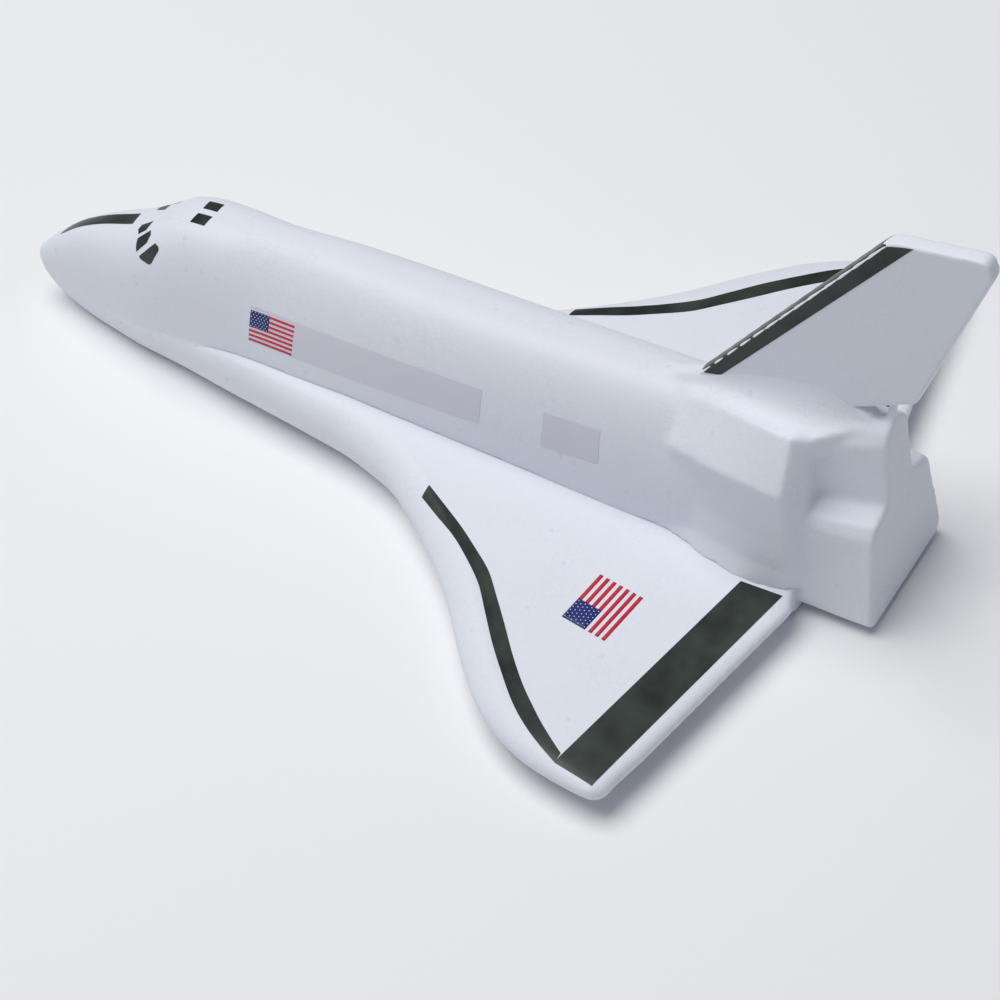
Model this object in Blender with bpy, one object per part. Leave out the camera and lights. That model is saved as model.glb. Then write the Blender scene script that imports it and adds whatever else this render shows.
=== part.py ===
# Foam space shuttle glider, about 305 mm long: two foam mouldings, a fin, stickers, a hook and a nose weight.
# The nose points to -Y and the tail to +Y. X is the span, +X the port side. Z is up and the belly lies at Z = 0.
# Sizes are in millimetres and become metres where a mesh is made. A station is the distance aft of the nose tip.
import math

import bmesh
import bpy
from mathutils import Vector
from mathutils.bvhtree import BVHTree

MM = 0.001
LENGTH = 304.6          # nose tip to the fin's trailing tip
GAP = 0.3               # left between two pieces that touch
STICKER = 0.2           # thickness of a sticker
BULKHEAD = 259.0        # station of the pods' rear edge
BLOCK_END = 281.0       # station of the engine block's rear face
BLOCK_LEAN = 1.5        # the rear face's top lies this much further forward than its foot
JOINT = 7.0             # height of the level joint between the mouldings under the nose
JOINT_RAMP = (60.0, 85.0)  # stations between which the joint climbs to the wing's top surface
WING_TOP = 10.6         # height of the wing's top surface at station 254
WING_SLOPE = 0.08       # the top surface falls by this much per millimetre towards the tail
SHELF = (35.0, 95.0, 13.0, 21.0)   # stations and heights between which the strake's top climbs
LOWER_START = 7.0       # station where the lower moulding starts, behind the nose tip

# Sections of the hull: station, half width at the fuselage's root, widest half width and its height,
# half width and height of the underside's edge, how far in the wing's top starts to curve down, top height,
# boxiness of the arch (2 is an ellipse) and how much its sides lean in per millimetre of height.
STATION, ROOT, EDGE, EDGE_Z, UNDER, UNDER_Z, ROUND, TOP, BOX, LEAN = range(10)
HULL = (
    (0.0, 1.2, 1.3, 14.4, 0.5, 13.2, 9.0, 15.6, 2.57, 0.06),
    (1.5, 2.3, 2.4, 14.0, 0.9, 9.8, 9.0, 18.2, 2.58, 0.06),
    (4.0, 3.9, 4.0, 13.6, 1.4, 6.8, 9.0, 20.3, 2.6, 0.05),
    (8.0, 5.3, 5.4, 13.4, 2.0, 4.0, 9.0, 23.8, 2.62, 0.05),
    (14.0, 7.0, 7.2, 13.2, 2.8, 1.9, 9.0, 28.0, 2.66, 0.04),
    (22.0, 9.1, 9.4, 13.0, 4.0, 0.6, 9.0, 33.1, 2.7, 0.03),
    (32.0, 11.3, 11.7, 12.8, 5.4, 0.0, 9.0, 37.6, 2.8, 0.01),
    (44.0, 13.8, 14.5, 12.6, 7.0, 0.0, 9.0, 41.7, 2.9, 0.0),
    (54.0, 15.2, 15.9, 12.6, 8.0, 0.0, 9.0, 46.4, 2.9, 0.0),
    (63.0, 16.2, 17.4, 12.8, 9.0, 0.0, 9.0, 51.5, 2.9, 0.01),
    (72.0, 17.0, 19.2, 13.0, 10.0, 0.0, 9.0, 53.2, 2.88, 0.04),
    (80.8, 17.6, 20.9, 13.2, 11.0, 0.0, 9.0, 53.4, 2.8, 0.08),
    (98.2, 18.5, 23.8, 13.0, 12.5, 0.0, 9.0, 53.8, 2.6, 0.17),
    (114.6, 19.1, 26.4, 12.6, 14.5, 0.0, 9.0, 53.8, 2.62, 0.16),
    (125.8, 19.3, 28.2, 12.2, 17.0, 0.0, 9.0, 53.3, 2.65, 0.15),
    (135.7, 19.4, 30.9, 11.8, 20.5, 0.0, 9.0, 52.7, 2.68, 0.14),
    (145.9, 19.4, 34.4, 11.4, 25.0, 0.1, 9.0, 52.2, 2.7, 0.13),
    (157.8, 19.4, 41.9, 11.0, 33.0, 0.5, 9.0, 51.7, 2.72, 0.13),
    (170.0, 19.4, 51.1, 10.6, 42.5, 1.0, 9.0, 51.3, 2.75, 0.13),
    (183.0, 19.5, 62.7, 10.2, 54.5, 1.8, 9.0, 50.9, 2.74, 0.13),
    (196.2, 19.6, 77.1, 9.8, 68.5, 2.8, 9.0, 50.6, 2.72, 0.13),
    (208.3, 19.7, 88.3, 9.4, 80.5, 3.8, 8.4, 50.4, 2.7, 0.13),
    (218.9, 19.7, 94.6, 9.2, 89.0, 4.6, 7.2, 50.2, 2.68, 0.13),
    (229.7, 19.8, 98.0, 9.0, 94.0, 5.2, 5.4, 50.0, 2.65, 0.13),
    (243.0, 19.8, 99.8, 8.9, 97.2, 6.0, 3.4, 50.0, 2.62, 0.13),
    (258.0, 19.8, 100.6, 8.6, 98.0, 6.2, 2.8, 50.0, 2.62, 0.13),
)
BELLY_HALF = 18.0       # half width of the flat belly under the wing

# Aft edge of the wing in station and half width, from the side edge round to the engine block.
TIP_CORNER = (245.0, 4.6)           # station where the corner starts, and its radius
TRAIL_TIP = (250.4, 95.8)           # outer end of the straight trailing edge
TRAIL_ROOT = (262.9, 27.6)          # its inner end
TRAIL_NOTCH = (260.6, 21.6)         # where the wing ends beside the engine block
TRAIL_ROUND = 2.4
TRAIL_UNDER_Z = 6.2
TRAIL_STEP = 1.5        # step along the middle from one section of the trailing edge to the next

# Aft section with the two pods: station, ridge half width and height, crease half width and height,
# foot half width, height of the dip between the ridges.
PODS = (
    (221.0, 6.0, 46.0, 13.6, 37.6, 19.4, 46.6),
    (228.6, 7.4, 52.2, 17.0, 40.8, 21.6, 50.2),
    (238.0, 10.0, 53.6, 19.6, 41.6, 24.0, 50.6),
    (248.0, 12.6, 54.8, 21.4, 42.0, 25.2, 51.0),
    (BULKHEAD, 15.0, 55.8, 22.4, 42.0, 23.6, 51.4),
)
# The pods' rear face slopes inwards to this row, with the same columns, where the engine block comes out.
PODS_END = (262.4, 10.8, 53.0, 17.8, 34.5, 20.0, 52.4)
# Outline of the engine block: half width and height where it leaves the hull, then at its rear face.
BLOCK = (
    (19.6, 1.6, 18.4, 1.2),
    (20.6, 4.4, 20.6, 4.0),
    (18.6, 30.0, 16.2, 29.6),
    (17.2, 32.2, 13.8, 33.0),
    (12.0, 32.8, 8.4, 34.0),
    (11.2, 34.0, 6.8, 35.4),
    (10.6, 48.6, 6.2, 53.4),
    (8.2, 51.6, 4.2, 56.2),
    (3.4, 52.6, 1.6, 57.8),
)
# Foam ridge under the fin: station, half width, top height and the radius of the hollow curve at its foot.
SADDLE = (
    (216.0, 1.2, 50.4, 2.0),
    (226.0, 2.6, 53.4, 3.5),
    (240.0, 2.8, 54.2, 4.5),
    (257.0, 2.8, 55.0, 4.5),
    (266.0, 2.4, 57.3, 3.5),
    (271.0, 1.6, 57.3, 2.4),
)

# Fin outline in station and height, and the half thickness of the fin and of its tab.
FIN = ((226.0, 53.7), (257.0, 55.3), (266.0, 57.6), (272.0, 60.1), (285.4, 66.2), (304.6, 111.5),
       (302.6, 116.0), (281.2, 114.2), (276.4, 110.8))
FIN_HALF = 2.2
FIN_EDGE = 1.2          # rounding of the fin's edges
FIN_TAB = (234.0, 252.0, 44.0)     # front station, rear station and foot height
FIN_TAB_HALF = 1.3

WEIGHT = (30.0, 4.0, 10.0)         # station, radius and height of the nose weight
# Launch hook in the belly: its outline in station and height, and its half thickness.
HOOK = ((20.5, 5.2), (20.5, 4.0), (23.2, 4.0), (23.2, 1.2), (29.0, 1.2), (29.0, 2.3),
        (25.0, 2.6), (25.0, 4.0), (32.5, 4.0), (32.5, 5.2))
HOOK_HALF = 1.1
HOOK_POCKET = (18.5, 36.5, 2.8)    # front station, rear station and half width

# Stickers that follow a curved skin: corner points in station, half width and height.
NOSE_STRIPE = ((12.5, 1.6, 26.8), (44.3, 2.4, 41.7), (43.5, -2.5, 41.4), (15.6, -1.6, 28.9))
PANES = {
    "windscreen_front": ((53.2, 2.7, 45.9), (49.2, 3.5, 43.8), (48.9, 5.0, 43.3), (50.1, 6.7, 43.3),
                         (52.7, 5.9, 45.0), (53.0, 4.4, 45.5)),
    "windscreen_corner": ((55.1, 6.4, 46.1), (50.7, 7.9, 42.9), (51.0, 9.5, 41.6), (51.6, 10.7, 40.5),
                          (55.6, 9.5, 44.2), (56.2, 7.8, 46.0)),
    "windscreen_side": ((59.6, 10.3, 46.0), (61.3, 11.1, 45.8), (61.5, 11.7, 45.0), (58.7, 13.0, 40.5),
                        (57.5, 13.0, 39.7), (53.6, 11.9, 39.6), (53.1, 11.5, 40.1)),
}
OVERHEAD = ((69.7, 1.1, 52.9), (74.6, 1.1, 53.2), (74.3, 4.8, 52.8), (69.3, 4.7, 52.5))
SIDE_LABEL = ((93.6, 14.3, 38.7), (168.7, 15.3, 37.1), (167.6, 18.0, 26.8), (92.2, 17.1, 27.8))
AFT_LABEL = ((187.2, 15.3, 36.5), (203.9, 15.0, 36.5), (203.6, 17.7, 26.8), (186.5, 17.9, 26.3))

# Border sticker on the wing's flat top: station, then the half widths of its inner and outer sides along the
# leading edge. It goes on as a band in front of the trailing edge, given by station and half width.
EDGE_STRIPE = (
    (162.0, 35.8, 39.6), (169.2, 39.7, 43.6), (176.7, 43.8, 47.6), (183.6, 48.2, 52.3), (190.7, 53.1, 58.0),
    (197.1, 59.5, 65.1), (203.7, 66.4, 72.5), (210.3, 73.5, 79.1), (217.4, 80.3, 85.7), (222.1, 84.1, 89.2),
    (226.7, 87.6, 92.0), (230.9, 90.4, 94.1),
)
BAND = ((235.5, 96.1), (246.7, 97.8), (259.3, 25.1), (248.0, 25.8), (235.7, 93.3))
WING_FLAG = ((214.6, 57.1), (216.2, 40.7), (229.4, 42.3), (227.7, 58.8))
FIN_STRIPE = ((227.6, 55.2), (233.2, 55.4), (285.0, 113.2), (279.2, 111.9))

FOAM = (0.86, 0.87, 0.93)
BLACK = (0.010, 0.014, 0.011)
FILM = (0.80, 0.79, 0.84)
PLASTIC = (0.80, 0.80, 0.78)
STEEL = (0.55, 0.55, 0.56)


def point(station, x, z):
    return Vector((x * MM, (station - LENGTH / 2) * MM, z * MM))


def read(table, column, station):
    """Reads one column of a table at any station, on a smooth curve that never overshoots its rows."""
    last = len(table) - 1
    station = min(max(station, table[0][0]), table[last][0])
    k = max(i for i in range(last) if table[i][0] <= station)

    def slope(i):
        i = min(max(i, 0), last - 1)
        return (table[i + 1][column] - table[i][column]) / (table[i + 1][0] - table[i][0])

    def tangent(i):
        before, after = slope(i - 1), slope(i)
        return 0.0 if before * after <= 0 else 2 * before * after / (before + after)

    span = table[k + 1][0] - table[k][0]
    t = (station - table[k][0]) / span
    a, b = table[k][column], table[k + 1][column]
    return (a * (1 + 2 * t) * (1 - t) ** 2 + b * t * t * (3 - 2 * t)
            + span * t * (1 - t) * (tangent(k) * (1 - t) - tangent(k + 1) * t))


def hull(column, station):
    return read(HULL, column, station)


def wing_top(station):
    return WING_TOP - WING_SLOPE * (station - 254.0)


def root_height(station):
    """Height of the fuselage's widest line, which is the wing's top surface aft of the nose."""
    front, rear, low, high = SHELF
    t = min(1.0, max(0.0, (station - front) / (rear - front)))
    shelf = min(wing_top(station), low + (high - low) * t * t * (3 - 2 * t))
    return max(shelf, hull(EDGE_Z, station) + 0.3)


def joint_height(station):
    """Height of the joint between the two mouldings."""
    low, high = JOINT_RAMP
    climb = min(1.0, max(0.0, (station - low) / (high - low)))
    return JOINT + climb * (root_height(max(station, high)) - JOINT)


def side_curve(station, u):
    """Half width and height of the side from the underside, u = 0, past the widest point, 0.5, to the top, 1."""
    edge, edge_z = hull(EDGE, station), hull(EDGE_Z, station)
    turn = math.pi * abs(u - 0.5)
    if u < 0.5:
        inner, far = hull(UNDER, station), hull(UNDER_Z, station)
    else:
        inner, far = max(hull(ROOT, station), edge - hull(ROUND, station)), root_height(station)
    return inner + (edge - inner) * math.cos(turn), edge_z + (far - edge_z) * math.sin(turn)


def side_share(station, height):
    """How far up the side curve a height lies, from 0 to 1."""
    low, high = 0.0, 1.0
    for _ in range(30):
        middle = (low + high) / 2
        if side_curve(station, middle)[1] < height:
            low = middle
        else:
            high = middle
    return high


def finish(name, bm, colour, roughness, metallic=0.0, smooth=True):
    """Turns a closed bmesh into an object with its own material."""
    bmesh.ops.remove_doubles(bm, verts=bm.verts, dist=2e-6)
    bmesh.ops.triangulate(bm, faces=bm.faces)
    bmesh.ops.recalc_face_normals(bm, faces=bm.faces)
    mesh = bpy.data.meshes.new(name)
    bm.to_mesh(mesh)
    bm.free()
    obj = bpy.data.objects.new(name, mesh)
    bpy.context.scene.collection.objects.link(obj)
    material = bpy.data.materials.new(name)
    material.use_nodes = True
    shader = material.node_tree.nodes["Principled BSDF"]
    shader.inputs["Base Color"].default_value = (*colour, 1.0)
    shader.inputs["Roughness"].default_value = roughness
    shader.inputs["Metallic"].default_value = metallic
    mesh.materials.append(material)
    if smooth:
        shade(obj)
    return obj


def shade(obj):
    obj.data.shade_smooth()
    obj.data.set_sharp_from_angle(angle=math.radians(35))


def loft(rings):
    """A closed body through rings of equal length."""
    bm = bmesh.new()
    rows = [[bm.verts.new(p) for p in ring] for ring in rings]
    for a, b in zip(rows, rows[1:]):
        for k in range(len(a)):
            n = (k + 1) % len(a)
            bm.faces.new((a[k], a[n], b[n], b[k]))
    bm.faces.new(rows[0])
    bm.faces.new(list(reversed(rows[-1])))
    return bm


def mirrored(half):
    """A closed ring from its half at +X, which runs from the lowest centre point to the highest."""
    return half + [Vector((-p.x, p.y, p.z)) for p in reversed(half) if p.x > 1e-9]


def plate(outline, half):
    """A flat plate parallel to the plane of symmetry, from its outline in station and height."""
    return loft([[point(s, x, z) for s, z in outline] for x in (-half, half)])


def box(stations, half, heights):
    (a, b), (low, high) = stations, heights
    return plate(((a, low), (b, low), (b, high), (a, high)), half)


def combine(target, tool, operation):
    """Joins a tool to a body or cuts it away, and then removes the tool."""
    modifier = target.modifiers.new(operation.title(), "BOOLEAN")
    modifier.operation = operation
    modifier.object = tool
    graph = bpy.context.evaluated_depsgraph_get()
    result = bpy.data.meshes.new_from_object(target.evaluated_get(graph))
    target.modifiers.clear()
    target.data = result
    bpy.data.objects.remove(tool)
    shade(target)


def cut(target, bm):
    tool = finish("cutter", bm, BLACK, 0.5, smooth=False)
    tool.hide_render = True
    tool.display_type = "WIRE"
    combine(target, tool, "DIFFERENCE")


def add(target, bm):
    combine(target, finish("addition", bm, FOAM, 0.5, smooth=False), "UNION")


def lower_ring(station, edge, inward, side, top, back):
    """A ring of the lower moulding, which crosses the middle at the station back. Inward points from the edge into
    the wing, in station and half width."""
    along, across = inward
    belly = min(BELLY_HALF, side[0][0] - 0.5)
    foot = side[0][1] if station < 40.0 else 0.0
    half = [point(back, 0.0, foot), point(back, belly, foot)]
    for x, z in side:
        reach = edge - x
        half.append(point(station + reach * along, edge + reach * across, z))
    half.append(point(back, 0.0, top(back)))
    half[-2].z = top(half[-2].y / MM + LENGTH / 2) * MM
    return mirrored(half)


def leading_rings():
    stations = [LOWER_START, 9, 12, 16, 21, 27, 34, 42, 50, 58, 60.1, 64, 68, 72, 76, 80, 84.9]
    stations += [88, 94, 101, 108, 115, 122, 129, 136, 143, 149, 155, 161, 167, 173, 179, 185, 191, 197, 203, 209,
                 215, 221, 227, 233, 239, TIP_CORNER[0]]
    for station in stations:
        grow = (hull(EDGE, station + 0.5) - hull(EDGE, station - 0.5)) * min(1.0, max(0.0, (station - 110) / 40))
        size = math.hypot(1.0, grow)
        share = side_share(station, joint_height(station))
        side = [side_curve(station, share * k / 10) for k in range(11)]
        edge, inward = hull(EDGE, station), (grow / size, -1 / size)
        yield lower_ring(station, edge, inward, side, joint_height, station + (edge - side[-1][0]) * inward[0])


def trailing_side(edge, under_z, station, rounding):
    """The rounded side of the wing at its trailing edge, as half widths and heights."""
    top = wing_top(station)
    middle, tall = (top + under_z) / 2, (top - under_z) / 2
    turns = [math.pi * (k / 10 - 0.5) for k in range(11)]
    return [(edge - rounding * (1 - math.cos(t)), middle + tall * math.sin(t)) for t in turns]


def trailing_rings():
    start, radius = TIP_CORNER
    back = start + 0.3
    centre = (start + 0.6, hull(EDGE, start) - radius)
    slope = math.atan2(TRAIL_ROOT[0] - TRAIL_TIP[0], TRAIL_TIP[1] - TRAIL_ROOT[1])
    for k in range(1, 6):
        turn = (math.pi / 2 + slope) * k / 5
        away = (math.sin(turn), math.cos(turn))
        station, edge = centre[0] + radius * away[0], centre[1] + radius * away[1]
        side = trailing_side(edge, TRAIL_UNDER_Z, station, TRAIL_ROUND)
        yield lower_ring(station, edge, (-away[0], -away[1]), side, wing_top, back)
    for k in range(1, 7):
        station = TRAIL_TIP[0] + (TRAIL_ROOT[0] - TRAIL_TIP[0]) * k / 6
        edge = TRAIL_TIP[1] + (TRAIL_ROOT[1] - TRAIL_TIP[1]) * k / 6
        side = trailing_side(edge, TRAIL_UNDER_Z, station, TRAIL_ROUND)
        back += TRAIL_STEP
        yield lower_ring(station, edge, (-math.cos(slope), -math.sin(slope)), side, wing_top, back)
    station, edge = TRAIL_NOTCH
    yield lower_ring(station, edge, (0.0, -1.0), trailing_side(edge, 0.8, station, 0.0), wing_top, station)


def lower_moulding():
    wing = finish("wing_and_belly", loft([*leading_rings(), *trailing_rings()]), FOAM, 0.5)
    front, rear, half = HOOK_POCKET
    cut(wing, box((front, rear), half, (-5.0, HOOK[0][1] + GAP)))
    return wing


def fuselage_ring(station):
    floor = joint_height(station) + GAP
    root, crown = hull(ROOT, station), hull(TOP, station)
    low, power, lean = root_height(station), hull(BOX, station), hull(LEAN, station)
    half = [point(station, 0.0, max(floor, hull(UNDER_Z, station)))]
    share = side_share(station, floor)
    for k in range(5):
        x, z = side_curve(station, share + (1 - share) * k / 5) if floor < low else (root, floor)
        half.append(point(station, x, z))
    for k in range(17):
        rise = math.sin(math.pi / 2 * k / 16)
        x = (root - lean * (crown - low) * rise) * max(0.0, 1 - rise ** power) ** (1 / power)
        half.append(point(station, x if k < 16 else 0.0, max(low + (crown - low) * rise, floor)))
    return mirrored(half)


def pod_ring(station, ridge, ridge_z, crease, crease_z, foot, dip):
    floor = wing_top(station) + GAP
    flare, tall = foot - crease, crease_z - floor
    return mirrored([point(station, x, z) for x, z in
                     ((0.0, floor), (foot, floor), (crease + 0.35 * flare - 0.4, floor + 0.3 * tall),
                      (crease - 0.2, floor + 0.7 * tall), (crease, crease_z), (ridge, ridge_z),
                      (ridge * 0.5, (ridge_z + dip) / 2 - 0.4), (0.0, dip))])


def saddle_ring(station, half, top, radius):
    turns = [math.pi / 2 * k / 3 for k in range(4)]
    side = [(half + radius * (1 - math.cos(t)), top - radius * math.sin(t)) for t in turns]
    side += [(half + radius, top - radius - 6)]
    return [point(station, x, z) for x, z in side] + [point(station, -x, z) for x, z in reversed(side)]


def block_ring(station, first, lean):
    half = [row[first:first + 2] for row in BLOCK]
    half = [(0.0, half[0][1])] + half + [(0.0, half[-1][1])]
    height = BLOCK[-1][3]
    return mirrored([point(station - lean * z / height, x, z) for x, z in half])


def fuselage():
    stations = [0, 0.6, 1.5, 2.6, 4, 6, 8.5, 12, 16, 21, 27, 33, 39, 44, 48, 51, 54, 57, 60.1, 63, 66, 69, 72, 76,
                80, 84.9, 92, 102, 115, 130, 150, 170, 190, 210, 230, BULKHEAD - 2]
    body = finish("fuselage", loft([fuselage_ring(s) for s in stations]), FOAM, 0.5)
    pods = [[s] + [read(PODS, column, s) for column in range(1, 7)]
            for s in (221, 224, 228.6, 233, 238, 248, BULKHEAD)]
    add(body, loft([pod_ring(*row) for row in pods + [PODS_END]]))
    add(body, loft([saddle_ring(*row) for row in SADDLE]))
    block = finish("block", loft([block_ring(BULKHEAD - 5, 0, 0.0), block_ring(BLOCK_END, 2, BLOCK_LEAN)]), FOAM, 0.5)
    front, rear = BULKHEAD - 20, TRAIL_NOTCH[0] + GAP
    cut(block, loft([[point(s, x, z) for x, z in ((-40, -5), (40, -5), (40, wing_top(s) + GAP),
                                                  (-40, wing_top(s) + GAP))] for s in (front, rear)]))
    combine(body, block, "UNION")
    front, rear, foot = FIN_TAB
    cut(body, box((front - GAP, rear + GAP), FIN_TAB_HALF + GAP, (foot - GAP, 70.0)))
    station, radius, height = WEIGHT
    cut(body, turned(station, radius + GAP, JOINT - 1, JOINT + 2 * GAP + height))
    return body


def turned(station, radius, low, high):
    """An upright cylinder."""
    turns = [2 * math.pi * k / 24 for k in range(24)]
    return loft([[point(station + radius * math.sin(t), radius * math.cos(t), z) for t in turns]
                 for z in (low, high)])


def fin():
    bm = plate(FIN, FIN_HALF)
    rim = [e for e in bm.edges if abs(e.verts[0].co.x - e.verts[1].co.x) < 1e-9
           and max(v.co.z for v in e.verts) > 56.5 * MM]
    bmesh.ops.bevel(bm, geom=rim, offset=FIN_EDGE * MM, segments=3, profile=0.5, affect="EDGES")
    piece = finish("fin", bm, FOAM, 0.5)
    front, rear, foot = FIN_TAB
    add(piece, box((front, rear), FIN_TAB_HALF, (foot, 56.5)))
    return piece


def lay(name, corners, carrier, colour=BLACK, grid=None, mirror=1):
    """A sticker on the carrier's skin: a patch between the corners is divided and each point snapped to the skin.

    Four corners with a grid give that many cells from the first corner to the second and from the second to the
    third. Any other outline is divided from its middle."""
    bm = bmesh.new()
    places = [point(s, x * mirror, z) for s, x, z in corners]
    if grid:
        across, up = grid
        rows = [[bm.verts.new(places[0].lerp(places[1], i / across).lerp(places[3].lerp(places[2], i / across), j / up))
                 for i in range(across + 1)] for j in range(up + 1)]
        for j in range(up):
            for i in range(across):
                bm.faces.new((rows[j][i], rows[j][i + 1], rows[j + 1][i + 1], rows[j + 1][i]))
    else:
        verts = [bm.verts.new(place) for place in places]
        middle = bm.verts.new(sum(places, Vector()) / len(places))
        for a, b in zip(verts, verts[1:] + verts[:1]):
            bm.faces.new((a, b, middle))
        bmesh.ops.subdivide_edges(bm, edges=bm.edges, cuts=2, use_grid_fill=True)
    skin = BVHTree.FromObject(carrier, bpy.context.evaluated_depsgraph_get())
    faces, inner, outer = list(bm.faces), list(bm.verts), {}
    for vert in inner:
        spot, normal, _, _ = skin.find_nearest(vert.co)
        outer[vert] = bm.verts.new(spot + normal * (GAP + STICKER) * MM)
        vert.co = spot + normal * GAP * MM
    rim = [e.verts[:] for e in bm.edges if len(e.link_faces) == 1]
    for face in faces:
        bm.faces.new([outer[v] for v in face.verts])
    for a, b in rim:
        bm.faces.new((a, b, outer[b], outer[a]))
    return finish(name, bm, colour, 0.3)


def lay_flat(name, outline, mirror=1, colour=BLACK):
    """A sticker on the wing's flat top, from its outline in station and half width."""
    low = [point(s, x * mirror, wing_top(s) + GAP) for s, x in outline]
    high = [p + Vector((0, 0, STICKER * MM)) for p in low]
    return finish(name, loft([low, high]), colour, 0.3, smooth=False)


def border():
    """Outline of the border sticker, which follows the wing's leading edge and then its trailing edge."""
    outer = [(station, far) for station, _, far in EDGE_STRIPE]
    inner = [(station, near) for station, near, _ in EDGE_STRIPE]
    return outer + list(BAND) + inner[::-1]


def stickers(body):
    lay("nose_stripe", NOSE_STRIPE, body, grid=(14, 2))
    for side, mirror in (("left", 1), ("right", -1)):
        for name, corners in PANES.items():
            lay(f"{name}_{side}", corners, body, mirror=mirror)
        lay(f"overhead_window_{side}", OVERHEAD, body, grid=(3, 3), mirror=mirror)
        lay(f"side_label_{side}", SIDE_LABEL, body, FILM, (18, 5), mirror)
        lay(f"aft_label_{side}", AFT_LABEL, body, FILM, (5, 5), mirror)
        lay_flat(f"wing_border_{side}", border(), mirror)
        x = mirror * (FIN_HALF + GAP)
        low = [point(s, x, z) for s, z in FIN_STRIPE]
        high = [p + Vector((mirror * STICKER * MM, 0, 0)) for p in low]
        finish(f"fin_stripe_{side}", loft([low, high]), BLACK, 0.3, smooth=False)
    lay_flat("wing_flag", WING_FLAG, 1, FILM)


def nose_pieces():
    station, radius, height = WEIGHT
    finish("nose_weight", turned(station, radius, JOINT + GAP, JOINT + GAP + height), STEEL, 0.4, 1.0)
    finish("launch_hook", plate(HOOK, HOOK_HALF), PLASTIC, 0.4, smooth=False)


for old in list(bpy.data.objects):
    bpy.data.objects.remove(old)
lower_moulding()
hull_body = fuselage()
fin()
stickers(hull_body)
nose_pieces()
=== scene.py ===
"""Looks of the foam space shuttle glider: smooth foam mouldings, stickers, flags, hook and weight.

Shapes are given in millimetres. A station is the distance aft of the nose tip, x is the half width towards the port
wing and z the height above the belly. point() turns them into the frame's metres."""
import math

import bmesh
import bpy
import numpy as np
from mathutils import Matrix, Vector
from mathutils.bvhtree import BVHTree


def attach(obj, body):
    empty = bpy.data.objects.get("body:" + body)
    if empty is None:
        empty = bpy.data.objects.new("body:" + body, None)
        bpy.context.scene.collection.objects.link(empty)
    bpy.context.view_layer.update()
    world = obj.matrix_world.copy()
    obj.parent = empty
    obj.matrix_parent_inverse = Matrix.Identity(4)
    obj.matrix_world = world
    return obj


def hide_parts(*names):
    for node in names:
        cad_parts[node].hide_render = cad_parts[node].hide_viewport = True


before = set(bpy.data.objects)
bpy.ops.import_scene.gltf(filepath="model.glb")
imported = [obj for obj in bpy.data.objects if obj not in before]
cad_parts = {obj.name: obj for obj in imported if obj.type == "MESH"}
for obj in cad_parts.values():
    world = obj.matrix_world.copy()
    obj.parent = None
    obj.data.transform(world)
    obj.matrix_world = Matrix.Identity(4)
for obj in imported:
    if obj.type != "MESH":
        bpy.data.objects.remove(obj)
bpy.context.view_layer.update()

MM = 0.001
LENGTH = 304.6
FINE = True


# --- Shape of the hull -------------------------------------------------------------------------------------------

BULKHEAD = 259.0            # station of the pods' rear edge
BLOCK_END = 281.0           # station of the engine block's rear face
BLOCK_LEAN = 1.5            # the rear face's top lies this much further forward than its foot
WING_TOP = 10.6             # height of the wing's top surface at station 254
WING_SLOPE = 0.08           # fall of the top surface per millimetre towards the tail
SHELF = (35.0, 95.0, 13.0, 21.0)    # stations and heights between which the strake's top climbs
LOWER_START = 1.2           # first section of the lower moulding
BELLY_HALF = 18.0
SEAM = 7.0                  # height of the seam between the mouldings under the nose
SEAM_RAMP = (58.0, 72.0)    # stations between which the seam climbs to the strake's top
SEAM_OPEN = 0.14            # width of the seam under the nose
OVERLAP = 3.0               # both mouldings run this far past the seam before they are trimmed
SINK = 0.4                  # the upper moulding is bedded this deep in the wing

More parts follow.
